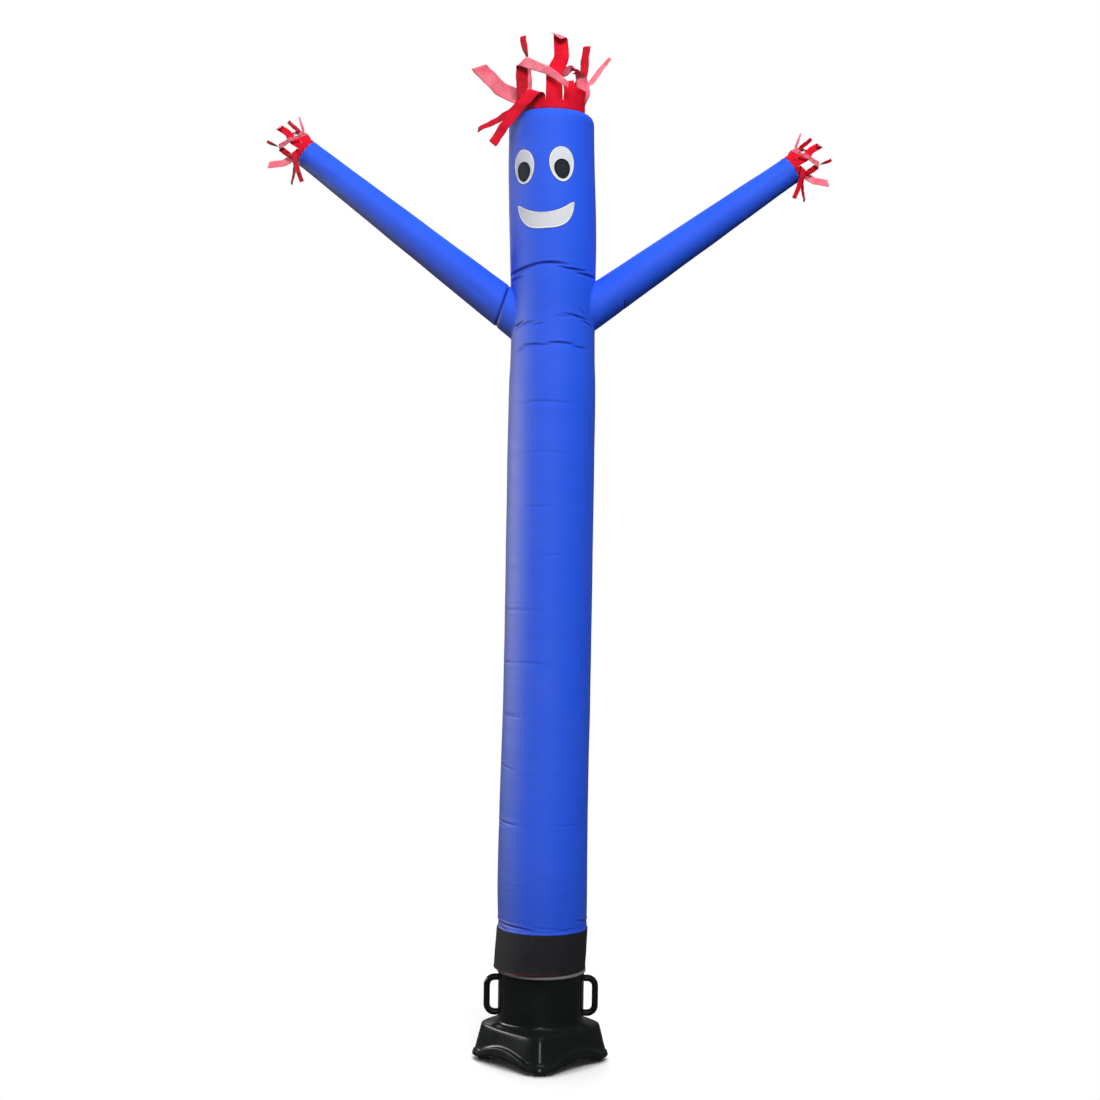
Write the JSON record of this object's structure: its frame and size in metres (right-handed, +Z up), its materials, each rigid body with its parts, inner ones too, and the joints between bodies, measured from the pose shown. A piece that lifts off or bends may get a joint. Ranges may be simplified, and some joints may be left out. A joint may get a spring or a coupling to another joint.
{
  "type": "inflatable air dancer with blower base",
  "caption": "Tall inflated fabric tube figure with raised arms, a smiling patch face and strip fringes on head and hands, its cuff fitted over a moulded blower base with side handles.",
  "frame": {"origin": "on the floor at the middle of the whole part's footprint, which is the blower's vertical axis to within 20 mm", "axes": "+Z up along the tube, -Y is the side the face looks to, +X towards the dancer's left arm, the blower's feet point along X and Y"},
  "size_m": [1.9637, 0.4776, 3.5881],
  "materials": {
    "blue_nylon": "thin woven nylon with a soft satin sheen",
    "red_nylon": "thin woven nylon, paler on its reverse side",
    "black_cuff_cloth": "matt coarse woven cloth",
    "white_patch_cloth": "smooth satin cloth patch with a stitched edge",
    "dark_patch_cloth": "smooth satin cloth patch with a stitched edge",
    "black_moulded_plastic": "rotation-moulded, semi-gloss, faint orange peel",
    "black_foot_rubber": "matt moulded rubber"
  },
  "bodies": {
    "root": {"body_tube": "blue_nylon", "arm_left": "blue_nylon", "arm_right": "blue_nylon", "cuff": "black_cuff_cloth", "hair_fringe": "red_nylon", "hand_fringe_left": "red_nylon", "hand_fringe_right": "red_nylon", "eye_white_left": "white_patch_cloth", "eye_white_right": "white_patch_cloth", "mouth": "white_patch_cloth", "pupil_left": "dark_patch_cloth", "pupil_right": "dark_patch_cloth", "blower_housing": "black_moulded_plastic", "handle_left": "black_moulded_plastic", "handle_right": "black_moulded_plastic", "cable_gland": "black_moulded_plastic", "foot_pad_front": "black_foot_rubber", "foot_pad_right": "black_foot_rubber", "foot_pad_back": "black_foot_rubber", "foot_pad_left": "black_foot_rubber"}
  },
  "joints": []
}
